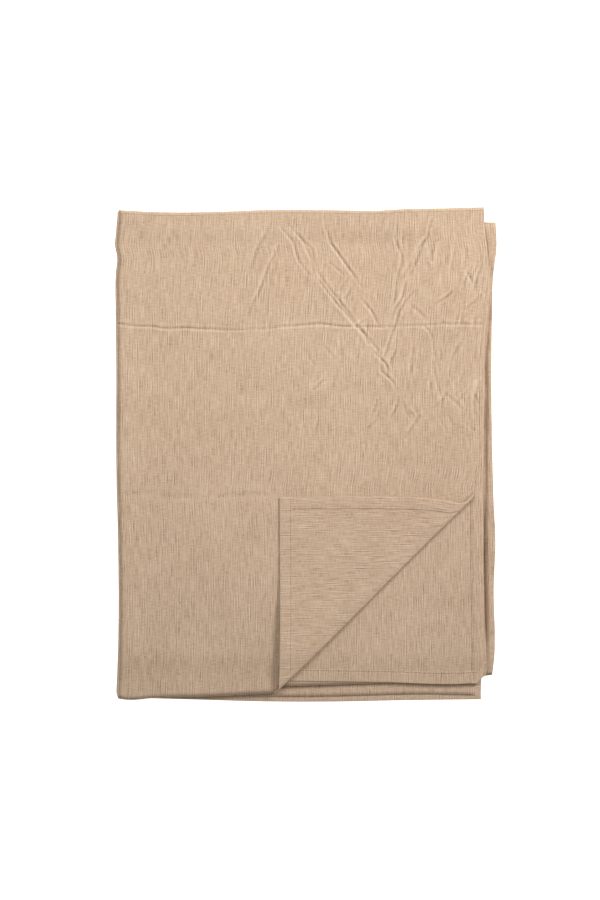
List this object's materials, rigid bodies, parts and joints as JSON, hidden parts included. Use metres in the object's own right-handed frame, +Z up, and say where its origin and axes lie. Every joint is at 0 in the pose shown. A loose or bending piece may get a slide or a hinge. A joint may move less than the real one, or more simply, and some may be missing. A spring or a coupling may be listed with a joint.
{
  "type": "folded tablecloth",
  "caption": "Hemmed linen tablecloth folded flat into eight layers, with one corner of the top layer turned back over it; it unfolds at the top folds.",
  "frame": {"origin": "middle of the folded cloth's underside, on the surface it lies on", "axes": "+Z up off the surface, +Y along the folded length towards the top folds, +X across towards the hemmed sides"},
  "size_m": [0.624, 0.812, 0.0181],
  "materials": {
    "cloth": "washed plain-weave linen, slubby yarns, warm beige, matt",
    "thread": "matt sewing thread, a shade darker than the cloth"
  },
  "bodies": {
    "back_half": {"back_end_hem_1": "cloth", "back_end_hem_2": "cloth", "back_end_hem_3": "cloth", "back_end_hem_4": "cloth", "back_hem_thread": "thread", "back_left_fold_inner": "cloth", "back_left_fold_outer": "cloth", "back_panel_1": "cloth", "back_panel_2": "cloth", "back_panel_3": "cloth", "back_panel_4": "cloth", "back_right_fold": "cloth", "back_side_hem_1": "cloth", "back_side_hem_4": "cloth", "top_fold_1": "cloth", "top_fold_2": "cloth", "top_fold_3": "cloth", "top_fold_4": "cloth"},
    "front_half": {"front_end_hem_1": "cloth", "front_end_hem_2": "cloth", "front_end_hem_3": "cloth", "front_end_hem_4": "cloth", "front_hem_thread": "thread", "front_left_fold_inner": "cloth", "front_left_fold_outer": "cloth", "front_panel_1": "cloth", "front_panel_2": "cloth", "front_panel_3": "cloth", "front_panel_4": "cloth", "front_right_fold": "cloth", "front_side_hem_1": "cloth", "front_side_hem_4": "cloth", "corner_fold": "cloth"},
    "turned_corner": {"corner_flap": "cloth", "corner_end_hem": "cloth", "corner_side_hem": "cloth", "corner_hem_thread": "thread"}
  },
  "joints": [
    {"name": "top_fold", "type": "hinge", "parent": "back_half", "child": "front_half", "pos_m": [0, 0.3994, 0.0091], "axis": [-1, 0, 0], "range_deg": [0, 180], "deforming": ["top_fold_1", "top_fold_2", "top_fold_3", "top_fold_4"]},
    {"name": "corner_turn", "type": "hinge", "parent": "front_half", "child": "turned_corner", "pos_m": [0.1175, -0.2255, 0.0175], "axis": [0.7071, 0.7071, 0], "range_deg": [0, 180], "deforming": ["corner_fold"]}
  ]
}
